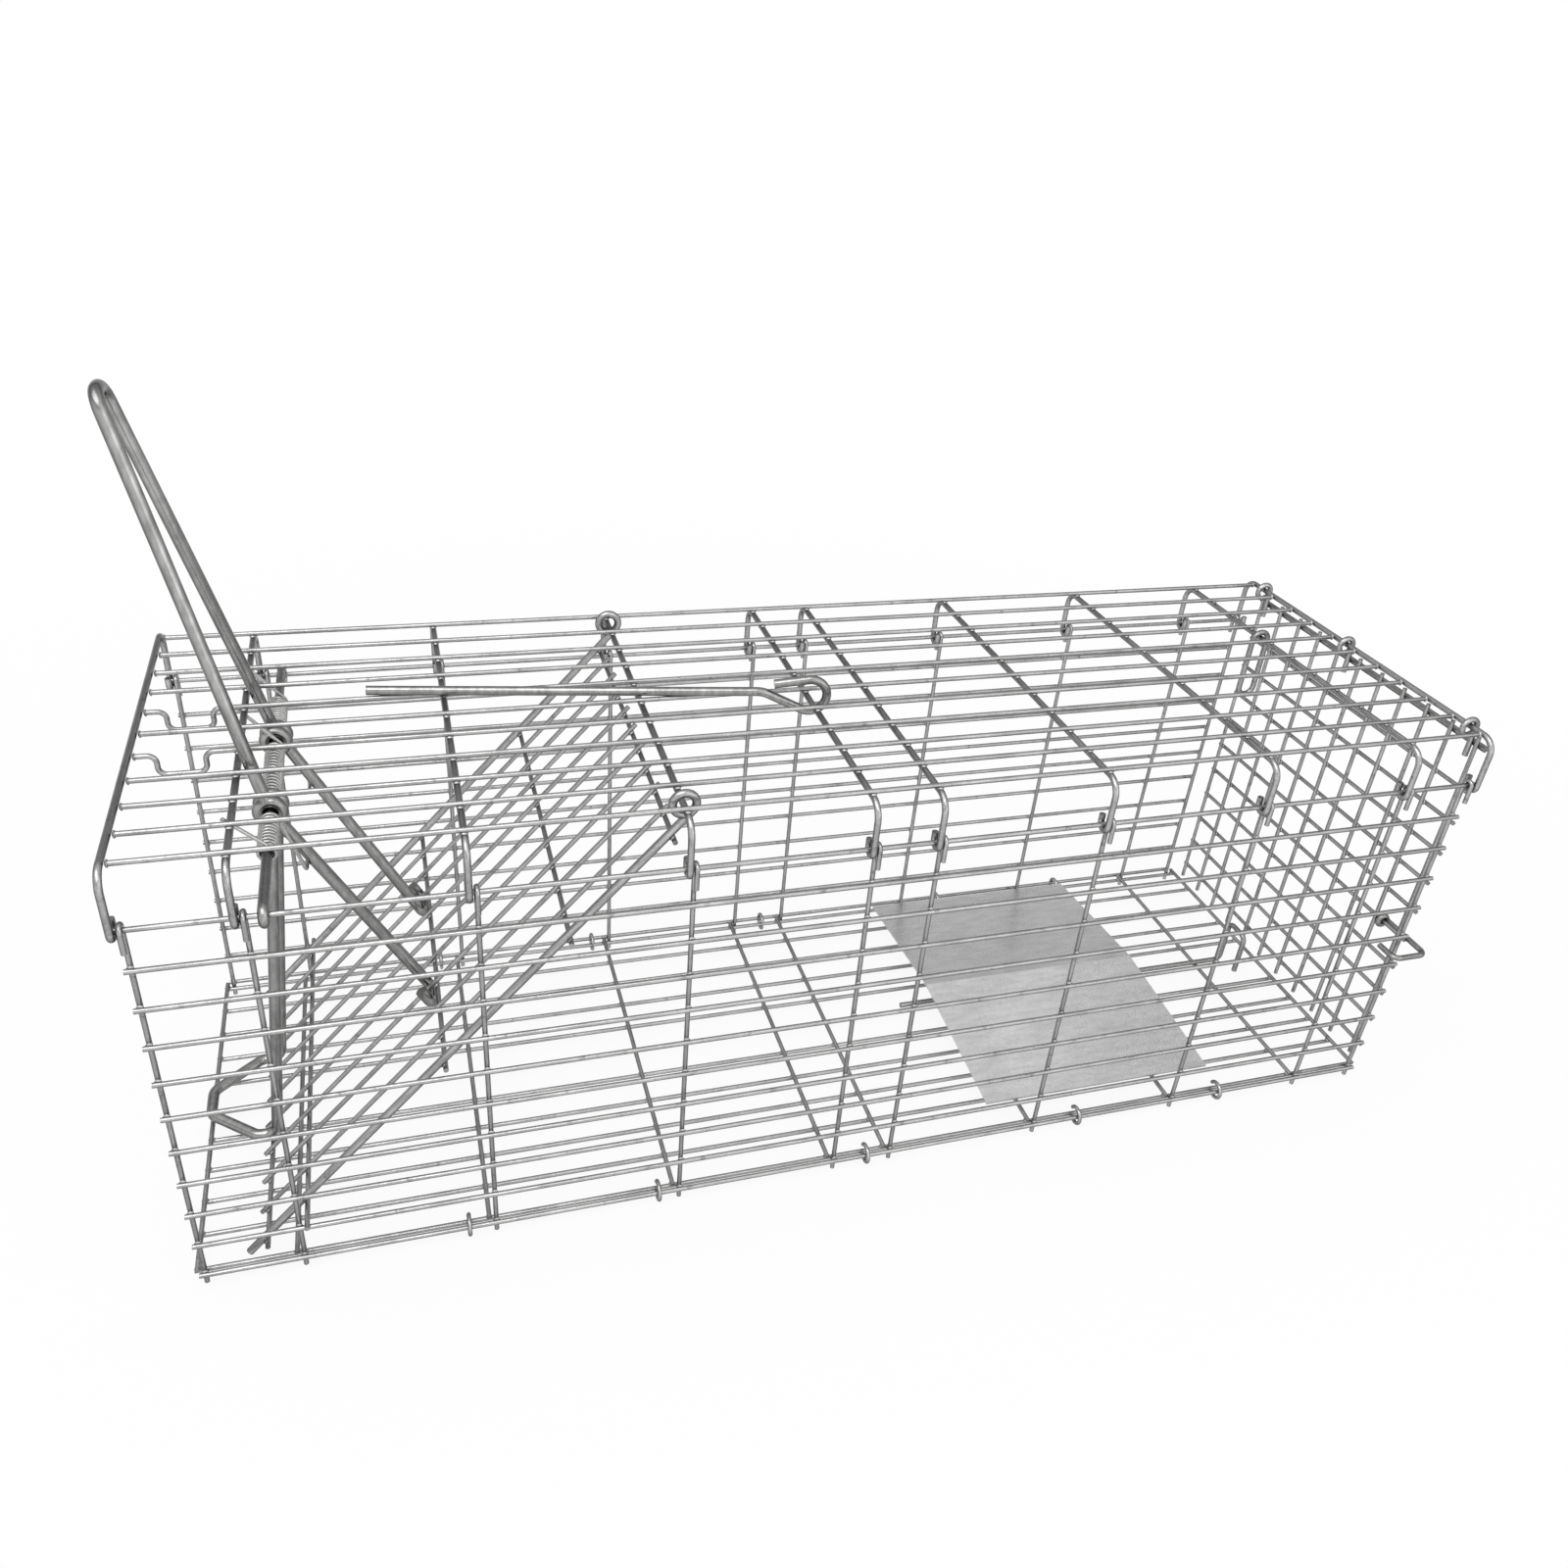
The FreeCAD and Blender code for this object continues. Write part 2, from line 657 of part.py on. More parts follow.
# Rear door
rear_ring_radius = cross_r + rear_ring_gap + rear_ring_slack + loop_r
rear_tail_x = rear_hinge_x + rear_ring_radius
rear_door_x = rear_tail_x + loop_r - mesh_r
rear_half = upright_y - mesh_r - rear_col_inset
rear_row_half = rear_half + rear_row_over
rear_cols = spread(rear_half, rear_col_count)
rear_row_x = rear_door_x + mesh_step
rear_rows = [(low + high) / 2 for low, high in zip(side_rows, side_rows[1:])]
rear_top_z = top_z - rear_top_drop
rear_bar_z = rear_top_z - rear_bar_drop
save("rear_door_columns", [rod(V(rear_door_x, y, rear_low_z), V(rear_door_x, y, rear_top_z), mesh_r)
                           for y in rear_cols])
save("rear_door_rows", [rod(V(rear_row_x, -rear_row_half, z), V(rear_row_x, rear_row_half, z), mesh_r)
                        for z in rear_rows])
bar_start = V(rear_door_x + mesh_r + bar_wire / 2 - weld_bite, -rear_row_half, rear_bar_z)
save("rear_door_bar", rod(bar_start, bar_start + V(0, 2 * rear_row_half, 0), bar_wire / 2))
rear_eye = V(rear_hinge_x, 0, top_z - rear_ring_slack)
side_loop_y = rear_half - mesh_r - loop_r - rear_loop_gap
loops = []
for y in (-side_loop_y, lane(rear_cols, rear_loop_cols), side_loop_y):
    tail_top = V(rear_tail_x, y, rear_eye.z)
    tail = Part.makeLine(tail_top - V(0, 0, rear_loop_tail), tail_top)
    curl = arc_edge(rear_eye, rear_ring_radius, 0, 360 - eye_open_deg, y)
    spine = Part.Wire(Part.__sortEdges__([tail, curl]))
    ring = Part.Wire([Part.makeCircle(loop_r, tail_top - V(0, 0, rear_loop_tail), V(0, 0, 1))])
    loops.append(spine.makePipeShell([ring], True, False))
save("rear_door_loops", loops)

# Rear latch: slides along a door wire, its hook goes behind the corner upright
latch_z = rear_rows[latch_row]
latch_ring = mesh_r + run_gap + link_r
latch_x = rear_row_x + latch_ring
latch_eye_y = rear_cols[1] - mesh_r - latch_eye_gap - link_r
latch_out_y = -(flange_y + cross_r + latch_side_gap + link_r)
latch_in_x = upright_x[-1] - mesh_r - latch_grip_gap - link_r
latch_tip_y = latch_tip_past - upright_y
latch_path = [V(latch_x, latch_eye_y, latch_z), V(latch_x, latch_out_y, latch_z),
              V(latch_in_x, latch_out_y, latch_z), V(latch_in_x, latch_tip_y, latch_z)]
latch_eye = torus(latch_eye_y, V(rear_row_x, 0, latch_z), latch_ring, link_r)
save("rear_latch", bent(latch_path, latch_bend, link_r).fuse(latch_eye))
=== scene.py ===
"""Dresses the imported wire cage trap: zinc finishes, weld nuggets, wound springs and a studio."""

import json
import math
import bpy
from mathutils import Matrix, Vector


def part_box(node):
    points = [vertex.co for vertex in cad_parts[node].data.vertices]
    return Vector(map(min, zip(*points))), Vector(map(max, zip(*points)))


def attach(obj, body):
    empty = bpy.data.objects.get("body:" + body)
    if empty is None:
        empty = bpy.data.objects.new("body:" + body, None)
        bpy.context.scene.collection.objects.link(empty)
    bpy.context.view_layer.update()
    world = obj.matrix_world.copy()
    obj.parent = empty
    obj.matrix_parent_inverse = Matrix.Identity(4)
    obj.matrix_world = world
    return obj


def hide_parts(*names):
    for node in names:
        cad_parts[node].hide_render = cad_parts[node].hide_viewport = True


bl_info = {
    "name": "Wire cage trap dressing",
    "version": (1, 0, 0),
    "blender": (4, 5, 0),
    "location": "View3D > Sidebar > Cage trap",
    "description": "Zinc finishes, weld nuggets, wound springs and a studio for a wire cage trap",
    "category": "Object",
}

import bmesh
import bpy
from mathutils import Matrix, Vector

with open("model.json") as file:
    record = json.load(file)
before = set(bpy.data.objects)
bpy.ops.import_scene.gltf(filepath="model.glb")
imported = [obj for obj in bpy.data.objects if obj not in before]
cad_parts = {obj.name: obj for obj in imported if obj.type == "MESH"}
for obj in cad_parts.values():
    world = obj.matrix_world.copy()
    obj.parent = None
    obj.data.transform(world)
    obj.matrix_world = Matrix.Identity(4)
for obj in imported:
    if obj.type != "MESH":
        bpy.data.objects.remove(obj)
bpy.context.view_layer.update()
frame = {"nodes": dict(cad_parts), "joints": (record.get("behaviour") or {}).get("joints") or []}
nodes = frame["nodes"]
joints = {joint["name"]: joint for joint in frame["joints"]}

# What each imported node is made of, and the way its wires run
LENGTHWISE = ["top_long_wires", "top_dipped_wires", "side_long_near", "side_long_far",
              "bottom_long_wires"]
CROSSWISE = ["top_cross_front", "door_hinge_wire", "rod_hinge_wire", "top_cross_rear",
             "catch_wire", "rear_hinge_wire", "bottom_cross_wires", "door_stop_wire",
             "rear_door_rows", "door_cross_wires"]
UPRIGHT = ["side_uprights_near", "side_uprights_far", "rear_door_columns", "rear_door_loops"]
SLOPING = ["door_long_wires", "door_side_wires"]
BARS = ["lever_bar", "lock_frame", "hold_down_rod"]
THICK = ["lever_axle", "rear_door_bar", "treadle_wire", "trigger_catch", "rear_latch"]
CLIPS = ["bottom_clips"]
SHEET = ["treadle_plate", "treadle_lugs"]
SPRINGS = ["lever_spring_far", "lever_spring_near", "lock_spring"]

# Roughness of each finish where it is clean
WIRE_ROUGH = 0.26
BAR_ROUGH = 0.19
THICK_ROUGH = 0.30
SHEET_ROUGH = 0.22
SPRING_ROUGH = 0.30
WELD_ROUGH = 0.42

# Shader shares: fine grain in the mottle, streaks in the colour, dull patches and blots in the
# roughness, and how far a streak is drawn out along its wire
GRAIN_SHARE = 0.38
STREAK_TINT = 0.14
DULLER_ROUGH = 0.10
BLOT_ROUGH = 0.16
BUMP_STRENGTH = 0.7
ALONG_WIRE = 0.03

# Noise values between which a mask goes from none to full
MOTTLE_FROM, MOTTLE_TO = 0.36, 0.64
STREAK_FROM, STREAK_TO = 0.35, 0.65
BLOT_EDGE = 0.12

# Least gap that parts two wires of a node
WIRE_GAP = 0.0012

# Weld nuggets: facets, the height that their waist keeps, and the edges that stay sharp
NUGGET_SEGMENTS = 10
NUGGET_RINGS = 6
NUGGET_WAIST = 0.75
NUGGET_SMOOTH = math.radians(50)

# Wound springs: facets of the tube, steps of a turn and of a bend, the broken rim of a cut end
# as a share of the wire's radius, how far round a point its ring is looked for, in radii, the
# distance within which points are merged, and the edges that stay sharp
TUBE_SIDES = 14
TURN_STEPS = 26
BEND_STEPS = 8
BURR_SHARE = 0.3
BURR_STEPS = 2
RING_REACH = 1.3
MERGE_WITHIN = 0.00001
SPRING_SMOOTH = math.radians(40)

# Floor: how white it looks near the object, and the distances over which it turns fully white
NEAR_WHITE = 0.90
WHITER_FROM, WHITER_TO = 0.35, 1.1
FLOOR_ROUGH = 0.9

# Lamps and camera
KEY_PLACE, KEY_SIZE = (-0.5, -0.5, 1.5), (1.4, 1.0)
FILL_PLACE, FILL_SIZE = (0.9, -1.1, 0.8), (1.4, 1.4)
LAMP_TARGET = (0, 0, 0.1)
SENSOR_WIDTH = 36.0
NEAREST_SEEN = 0.01

# Shades of the studio room by the sine of the view's height: white walls, a grey gallery, a
# white ceiling
ROOM_SHADES = ((0.0, 1.0), (0.30, 1.0), (0.42, 0.52), (0.56, 0.50), (0.68, 1.0), (0.92, 0.8))


class FinishSettings(bpy.types.PropertyGroup):
    """Colours and grain of the metal, and the painted shade on its rims."""

    wire_light: bpy.props.FloatVectorProperty(
        name="Wire, light", description="Bright patches of the zinc on the mesh wires",
        subtype="COLOR", size=3, min=0, max=1, default=(0.63, 0.63, 0.625))
    wire_dark: bpy.props.FloatVectorProperty(
        name="Wire, dark", description="Dull patches of the zinc on the mesh wires",
        subtype="COLOR", size=3, min=0, max=1, default=(0.44, 0.44, 0.44))
    bar_light: bpy.props.FloatVectorProperty(
        name="Bar, light", description="Bright patches of the zinc on the thick bars",
        subtype="COLOR", size=3, min=0, max=1, default=(0.50, 0.50, 0.495))
    bar_dark: bpy.props.FloatVectorProperty(
        name="Bar, dark", description="Dull patches of the zinc on the thick bars",
        subtype="COLOR", size=3, min=0, max=1, default=(0.34, 0.34, 0.335))
    sheet_light: bpy.props.FloatVectorProperty(
        name="Sheet, light", description="Bright grains of the zinc-coated sheet",
        subtype="COLOR", size=3, min=0, max=1, default=(0.71, 0.71, 0.71))
    sheet_dark: bpy.props.FloatVectorProperty(
        name="Sheet, dark", description="Dull grains of the zinc-coated sheet",
        subtype="COLOR", size=3, min=0, max=1, default=(0.64, 0.64, 0.64))
    spring_light: bpy.props.FloatVectorProperty(
        name="Spring, light", description="Bright patches of the plated spring wire",
        subtype="COLOR", size=3, min=0, max=1, default=(0.70, 0.70, 0.69))
    spring_dark: bpy.props.FloatVectorProperty(
        name="Spring, dark", description="Dull patches of the plated spring wire",
        subtype="COLOR", size=3, min=0, max=1, default=(0.46, 0.46, 0.455))
    streak_depth: bpy.props.FloatProperty(
        name="Streak depth", description="Depth of the lines that the drawing die leaves",
        subtype="DISTANCE", unit="LENGTH", min=0, default=0.00004)
    # Painted shade: how much of its colour a surface keeps at its rims, where it turns away from
    # the view
    painted_rim_shade: bpy.props.FloatProperty(
        name="Rim shade", description="How much of its colour a wire keeps where it turns away",
        min=0, max=1, default=0.25)


class WeldSettings(bpy.types.PropertyGroup):
    """Resistance welds where the wires cross."""

    spread: bpy.props.FloatProperty(
        name="Spread", description="Half width of the squeezed metal at a crossing",
        subtype="DISTANCE", unit="LENGTH", min=0, default=0.00165)
    height: bpy.props.FloatProperty(
        name="Height", description="Half height of the squeezed metal at a crossing",
        subtype="DISTANCE", unit="LENGTH", min=0, default=0.00075)


class SpringSettings(bpy.types.PropertyGroup):
    """The three wound springs on the lever's axle."""

    wire: bpy.props.FloatProperty(
        name="Wire", description="Thickness of the spring wire", subtype="DISTANCE",
        unit="LENGTH", min=0, default=0.0016)
    coil: bpy.props.FloatProperty(
        name="Coil", description="Radius of the wire's middle line about the axle",
        subtype="DISTANCE", unit="LENGTH", min=0, default=0.0033)
    arm: bpy.props.FloatProperty(
        name="Arm", description="Length of the arm that presses on a bar", subtype="DISTANCE",
        unit="LENGTH", min=0, default=0.030054)
    arm_cross: bpy.props.FloatProperty(
        name="Arm's end", description="Length of the arm's end that lies across the bar",
        subtype="DISTANCE", unit="LENGTH", min=0, default=0.0086)
    arm_bend: bpy.props.FloatProperty(
        name="Arm's bend", description="Radius of the bend before the arm's end",
        subtype="DISTANCE", unit="LENGTH", min=0, default=0.0026)
    tail: bpy.props.FloatProperty(
        name="Tail", description="Length of the tail that rests under the top's cross wire",
        subtype="DISTANCE", unit="LENGTH", min=0, default=0.02348)
    lever_from: bpy.props.FloatProperty(
        name="Lever spring's start", description="Distance of its first turn from the middle",
        subtype="DISTANCE", unit="LENGTH", default=0.03899)
    lever_to: bpy.props.FloatProperty(
        name="Lever spring's end", description="Distance of its last turn from the middle",
        subtype="DISTANCE", unit="LENGTH", default=0.06319)
    lever_angle: bpy.props.FloatProperty(
        name="Lever spring's arm", description="Where its first turn starts round the axle",
        subtype="ANGLE", unit="ROTATION", default=math.radians(14.775))
    lever_sweep: bpy.props.FloatProperty(
        name="Lever spring's turns", description="How far its wire goes round the axle",
        subtype="ANGLE", unit="ROTATION", default=math.radians(3988.1486))
    lock_half: bpy.props.FloatProperty(
        name="Lock spring's half", description="Distance of its end turns from the middle",
        subtype="DISTANCE", unit="LENGTH", default=0.01979)
    lock_angle: bpy.props.FloatProperty(
        name="Lock spring's arm", description="Where its first turn starts round the axle",
        subtype="ANGLE", unit="ROTATION", default=math.radians(-19.608))
    lock_sweep: bpy.props.FloatProperty(
        name="Lock spring's turns", description="How far its wire goes round the axle",
        subtype="ANGLE", unit="ROTATION", default=math.radians(5822.5317))


class StageSettings(bpy.types.PropertyGroup):
    """Floor, lamps and camera."""

    floor_colour: bpy.props.FloatVectorProperty(
        name="Floor", description="Colour of the floor", subtype="COLOR", size=3, min=0, max=1,
        default=(0.86, 0.86, 0.86))
    floor_size: bpy.props.FloatProperty(
        name="Floor size", description="Edge length of the floor", subtype="DISTANCE",
        unit="LENGTH", min=0, default=12.0)
    camera_place: bpy.props.FloatVectorProperty(
        name="Camera place", description="Where the camera stands", subtype="TRANSLATION",
        unit="LENGTH", size=3, default=(-0.195122, -0.497817, 0.484923))
    camera_turn: bpy.props.FloatVectorProperty(
        name="Camera turn", description="How the camera is turned", subtype="EULER",
        unit="ROTATION", size=3, default=(1.02593, -0.07692, -0.29196))
    camera_lens: bpy.props.FloatProperty(
        name="Lens", description="Focal length on a 36 mm sensor, in millimetres",
        min=1, default=28.986)
    key_power: bpy.props.FloatProperty(
        name="Key lamp", description="Power of the large lamp overhead, in watts",
        min=0, default=9.0)
    fill_power: bpy.props.FloatProperty(
        name="Fill lamp", description="Power of the lamp beside the camera, in watts",
        min=0, default=4.0)


# Shader node helpers
def new_group(name, inputs, outputs):
    """A shader node group with its sockets made, and its two end nodes."""
    group = bpy.data.node_groups.new(name, "ShaderNodeTree")
    for label, kind, value in inputs:
        made = group.interface.new_socket(name=label, in_out="INPUT", socket_type=kind)
        if value is not None:
            made.default_value = value
    for label, kind in outputs:
        group.interface.new_socket(name=label, in_out="OUTPUT", socket_type=kind)
    return group, group.nodes.new("NodeGroupInput"), group.nodes.new("NodeGroupOutput")


def add(tree, kind, links=(), **settings):
    """A node with its settings, its plain socket values and its links."""
    node = tree.nodes.new(kind)
    for key, value in settings.items():
        if key.startswith("in_"):
            socket = key[3:]
            place = int(socket) if socket.isdigit() else socket.replace("_", " ")
            node.inputs[place].default_value = value
        else:
            setattr(node, key, value)
    for target, source in links:
        tree.links.new(source, node.inputs[target])
    return node


def mottle_group():
    """Zinc bloom: broad cloudy patches with fine grain over them."""
    group, start, end = new_group(
        "Zinc mottle",
        [("Vector", "NodeSocketVector", None), ("Broad scale", "NodeSocketFloat", 60.0),
         ("Fine scale", "NodeSocketFloat", 900.0), ("Light", "NodeSocketColor", (0.6, 0.6, 0.6, 1)),
         ("Dark", "NodeSocketColor", (0.4, 0.4, 0.4, 1))],
        [("Color", "NodeSocketColor"), ("Mask", "NodeSocketFloat")])
    broad = add(group, "ShaderNodeTexNoise", [("Vector", start.outputs["Vector"]),
                ("Scale", start.outputs["Broad scale"])], in_Detail=4.0, in_Roughness=0.6)
    fine = add(group, "ShaderNodeTexNoise", [("Vector", start.outputs["Vector"]),
               ("Scale", start.outputs["Fine scale"])], in_Detail=3.0, in_Roughness=0.55)
    both = add(group, "ShaderNodeMix", [(2, broad.outputs["Fac"]), (3, fine.outputs["Fac"])],
               data_type="FLOAT", in_0=GRAIN_SHARE)
    mask = add(group, "ShaderNodeMapRange", [("Value", both.outputs[0])],
               in_From_Min=MOTTLE_FROM, in_From_Max=MOTTLE_TO)
    tint = add(group, "ShaderNodeMix", [(0, mask.outputs[0]), (6, start.outputs["Dark"]),
               (7, start.outputs["Light"])], data_type="RGBA")
    group.links.new(tint.outputs[2], end.inputs["Color"])
    group.links.new(mask.outputs[0], end.inputs["Mask"])
    return group


def streak_group():
    """Lines that the drawing die leaves along a wire, as a height."""
    group, start, end = new_group(
        "Die streaks",
        [("Vector", "NodeSocketVector", None), ("Across", "NodeSocketVector", (1, 1, 1)),
         ("Scale", "NodeSocketFloat", 1800.0)],
        [("Height", "NodeSocketFloat"), ("Mask", "NodeSocketFloat")])
    stretched = add(group, "ShaderNodeVectorMath", [(0, start.outputs["Vector"]),
                    (1, start.outputs["Across"])], operation="MULTIPLY")
    lines = add(group, "ShaderNodeTexNoise", [("Vector", stretched.outputs[0]),
                ("Scale", start.outputs["Scale"])], in_Detail=2.0, in_Roughness=0.5)
    sharp = add(group, "ShaderNodeMapRange", [("Value", lines.outputs["Fac"])],
                in_From_Min=STREAK_FROM, in_From_Max=STREAK_TO)
    group.links.new(lines.outputs["Fac"], end.inputs["Height"])
    group.links.new(sharp.outputs[0], end.inputs["Mask"])
    return group


def blot_group():
    """Scattered dull spots, such as dried plating fluid and handling marks."""
    group, start, end = new_group(
        "Dull blots",
        [("Vector", "NodeSocketVector", None), ("Scale", "NodeSocketFloat", 160.0),
         ("Least", "NodeSocketFloat", 0.56)],
        [("Mask", "NodeSocketFloat")])
    spots = add(group, "ShaderNodeTexNoise", [("Vector", start.outputs["Vector"]),
                ("Scale", start.outputs["Scale"])], in_Detail=5.0, in_Roughness=0.7)
    most = add(group, "ShaderNodeMath", [(0, start.outputs["Least"])], operation="ADD",
               in_1=BLOT_EDGE)
    mask = add(group, "ShaderNodeMapRange", [("Value", spots.outputs["Fac"]),
               ("From Min", start.outputs["Least"]), ("From Max", most.outputs[0])])
    group.links.new(mask.outputs[0], end.inputs["Mask"])
    return group


def zinc(name, light, dark, rough, across=(1, 1, 1), turn=(0, 0, 0), broad=60.0, fine=900.0,
         streak=1800.0, depth=0.00004, blots=0.57, blot_tint=0.72, painted_rim_shade=0.5,
         painted_rim_from=0.02, painted_rim_to=0.55):
    """A zinc-coated steel: mottled colour, dull blots, die streaks, and painted shade that darkens
    the colour where the surface turns away from the view.
    """
    material = bpy.data.materials.new(name)
    material.use_nodes = True
    tree = material.node_tree
    tree.nodes.clear()
    place = add(tree, "ShaderNodeTexCoord")
    turned = add(tree, "ShaderNodeMapping", [("Vector", place.outputs["Object"])])
    turned.inputs["Rotation"].default_value = turn
    mottle = add(tree, "ShaderNodeGroup", node_tree=bpy.data.node_groups["Zinc mottle"])
    mottle.inputs["Broad scale"].default_value = broad
    mottle.inputs["Fine scale"].default_value = fine
    mottle.inputs["Light"].default_value = (*light, 1)
    mottle.inputs["Dark"].default_value = (*dark, 1)
    tree.links.new(turned.outputs[0], mottle.inputs["Vector"])
    lines = add(tree, "ShaderNodeGroup", node_tree=bpy.data.node_groups["Die streaks"])
    lines.inputs["Across"].default_value = across
    lines.inputs["Scale"].default_value = streak
    tree.links.new(turned.outputs[0], lines.inputs["Vector"])
    dull = add(tree, "ShaderNodeGroup", node_tree=bpy.data.node_groups["Dull blots"])
    dull.inputs["Least"].default_value = blots
    tree.links.new(turned.outputs[0], dull.inputs["Vector"])
    spotted = add(tree, "ShaderNodeMix", [(0, dull.outputs["Mask"]), (6, mottle.outputs["Color"])],
                  data_type="RGBA", in_7=(*[c * blot_tint for c in dark], 1))
    lined = add(tree, "ShaderNodeMix", [(6, spotted.outputs[2]), (7, lines.outputs["Mask"])],
                data_type="RGBA", blend_type="OVERLAY", in_0=STREAK_TINT)
    base_rough = add(tree, "ShaderNodeMapRange", [("Value", mottle.outputs["Mask"])],
                     in_To_Min=rough + DULLER_ROUGH, in_To_Max=rough)
    dulled = add(tree, "ShaderNodeMath", [(0, dull.outputs["Mask"]), (2, base_rough.outputs[0])],
                 operation="MULTIPLY_ADD", in_1=BLOT_ROUGH)
    bump = add(tree, "ShaderNodeBump", [("Height", lines.outputs["Height"])],
               in_Strength=BUMP_STRENGTH, in_Distance=depth)
    # Painted shade: the colour darkens where the surface turns away from the view, standing in for
    # the darker surroundings that the rims reflect
    turned_away = add(tree, "ShaderNodeLayerWeight", in_Blend=0.5)
    rim = add(tree, "ShaderNodeMapRange", [("Value", turned_away.outputs["Facing"])],
              in_From_Min=painted_rim_from, in_From_Max=painted_rim_to, in_To_Min=1.0, in_To_Max=painted_rim_shade)
    with_painted_rim_shade = add(tree, "ShaderNodeMix", [(6, lined.outputs[2]), (7, rim.outputs[0])],
                 data_type="RGBA", blend_type="MULTIPLY", in_0=1.0)
    surface = add(tree, "ShaderNodeBsdfPrincipled", [("Base Color", with_painted_rim_shade.outputs[2]),
                  ("Roughness", dulled.outputs[0]), ("Normal", bump.outputs[0])], in_Metallic=1.0)
    add(tree, "ShaderNodeOutputMaterial", [("Surface", surface.outputs[0])])
    return material


def dress(names, material):
    """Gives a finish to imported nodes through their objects' slots."""
    for name in names:
        node = nodes[name]
        if not node.material_slots:
            node.data.materials.append(None)
        for one in node.material_slots:
            one.link = "OBJECT"
            one.material = material


def door_slope():
    """Angle below the horizontal at which the entry door leans."""
    low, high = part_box("door_long_wires")
    return math.atan2(high.z - low.z, high.x - low.x)


class CAGETRAP_OT_finishes(bpy.types.Operator):
    """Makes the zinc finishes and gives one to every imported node."""

    bl_idname = "cagetrap.finishes"
    bl_label = "Zinc finishes"

    def execute(self, context):
        look = context.scene.cagetrap_finish
        mottle_group()
        streak_group()
        blot_group()
        wire = tuple(look.wire_light), tuple(look.wire_dark)
        bar = tuple(look.bar_light), tuple(look.bar_dark)
        sheet = tuple(look.sheet_light), tuple(look.sheet_dark)
        plated = tuple(look.spring_light), tuple(look.spring_dark)
        depth = look.streak_depth
        # The drawn wires share the streak depth and the painted rim shade
        drawn = {"depth": depth, "painted_rim_shade": look.painted_rim_shade}
        for names, name, across, turn in (
                (LENGTHWISE, "Zinc wire lengthwise", (ALONG_WIRE, 1, 1), (0, 0, 0)),
                (CROSSWISE, "Zinc wire crosswise", (1, ALONG_WIRE, 1), (0, 0, 0)),
                (UPRIGHT, "Zinc wire upright", (1, 1, ALONG_WIRE), (0, 0, 0)),
                (SLOPING, "Zinc wire sloping", (ALONG_WIRE, 1, 1), (0, door_slope(), 0))):
            dress(names, zinc(name, *wire, WIRE_ROUGH, across, turn, **drawn))
        dress(BARS, zinc("Zinc bar", *bar, BAR_ROUGH, (1, 1, 0.2), broad=40.0, fine=260.0,
                         streak=420.0, depth=depth / 3, blots=0.66, painted_rim_shade=look.painted_rim_shade))
        dress(THICK, zinc("Zinc thick wire", *bar, THICK_ROUGH, (1, 0.3, 1), broad=50.0,
                          streak=1200.0, blots=0.60, **drawn))
        dress(CLIPS, zinc("Zinc clip wire", *plated, WIRE_ROUGH, **drawn))
        # The sheet gets only a faint painted shade, at grazing views
        dress(SHEET, zinc("Zinc sheet", *sheet, SHEET_ROUGH, (0.25, 1, 1), broad=22.0,
                          fine=420.0, streak=300.0, depth=depth / 4, blots=0.66,
                          blot_tint=0.95, painted_rim_shade=0.9, painted_rim_from=0.45, painted_rim_to=0.95))
        dress(SPRINGS, zinc("Zinc spring wire", *plated, SPRING_ROUGH, depth=depth))
        zinc("Zinc weld", *wire, WELD_ROUGH, broad=120.0, fine=1400.0, depth=depth * 2)
        return {"FINISHED"}


def bands(node, axis):
    """Middles of the separate wires of a node, told apart along one axis."""
    values = sorted(vertex.co[axis] for vertex in nodes[node].data.vertices)
    found = []
    first = last = values[0]
    for value in values[1:]:
        if value - last > WIRE_GAP:
            found.append((first + last) / 2)
            first = value
        last = value
    found.append((first + last) / 2)
    return found


def middle(node, axis):
    """Middle of a node's box along one axis."""
    low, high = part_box(node)
    return (low[axis] + high[axis]) / 2


def only_selected(thing):
    """Selects one object and nothing else."""
    bpy.ops.object.select_all(action="DESELECT")
    thing.select_set(True)
    bpy.context.view_layer.objects.active = thing


def nugget(spread, height):
    """One squeezed weld: a flattened button with a pinched waist."""
    bpy.ops.object.select_all(action="DESELECT")
    bpy.ops.mesh.primitive_uv_sphere_add(segments=NUGGET_SEGMENTS, ring_count=NUGGET_RINGS,
                                         radius=1.0, location=(0, 0, 0))
    button = bpy.context.object
    bpy.ops.object.mode_set(mode="EDIT")
    bpy.ops.mesh.select_all(action="SELECT")
    bpy.ops.transform.resize(value=(spread, spread, height))
    bpy.ops.object.mode_set(mode="OBJECT")
    mesh = bmesh.new()
    mesh.from_mesh(button.data)
    for vertex in mesh.verts:
        lift = abs(vertex.co.z) / height
        vertex.co.z *= NUGGET_WAIST + (1 - NUGGET_WAIST) * lift
    mesh.to_mesh(button.data)
    mesh.free()
    return button


def weld_panel(name, body, places):
    """Copies the nugget to each crossing of a panel and joins the copies."""
    size = bpy.context.scene.cagetrap_weld
    first = nugget(size.spread, size.height)
    copies = []
    for index, (place, normal) in enumerate(places):
        copy = bpy.data.objects.new(name + "_" + str(index), first.data.copy())
        bpy.context.scene.collection.objects.link(copy)
        turned = Vector((0, 0, 1)).rotation_difference(normal).to_matrix().to_4x4()
        copy.data.transform(Matrix.Translation(place) @ turned)
        copies.append(copy)
    bpy.data.objects.remove(first)
    bpy.ops.object.select_all(action="DESELECT")
    for copy in copies:
        copy.select_set(True)
    bpy.context.view_layer.objects.active = copies[0]
    bpy.ops.object.join()
    piece = bpy.context.object
    piece.name = name
    bpy.ops.object.shade_smooth_by_angle(angle=NUGGET_SMOOTH)
    piece.data.materials.clear()
    piece.data.materials.append(bpy.data.materials["Zinc weld"])
    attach(piece, body)


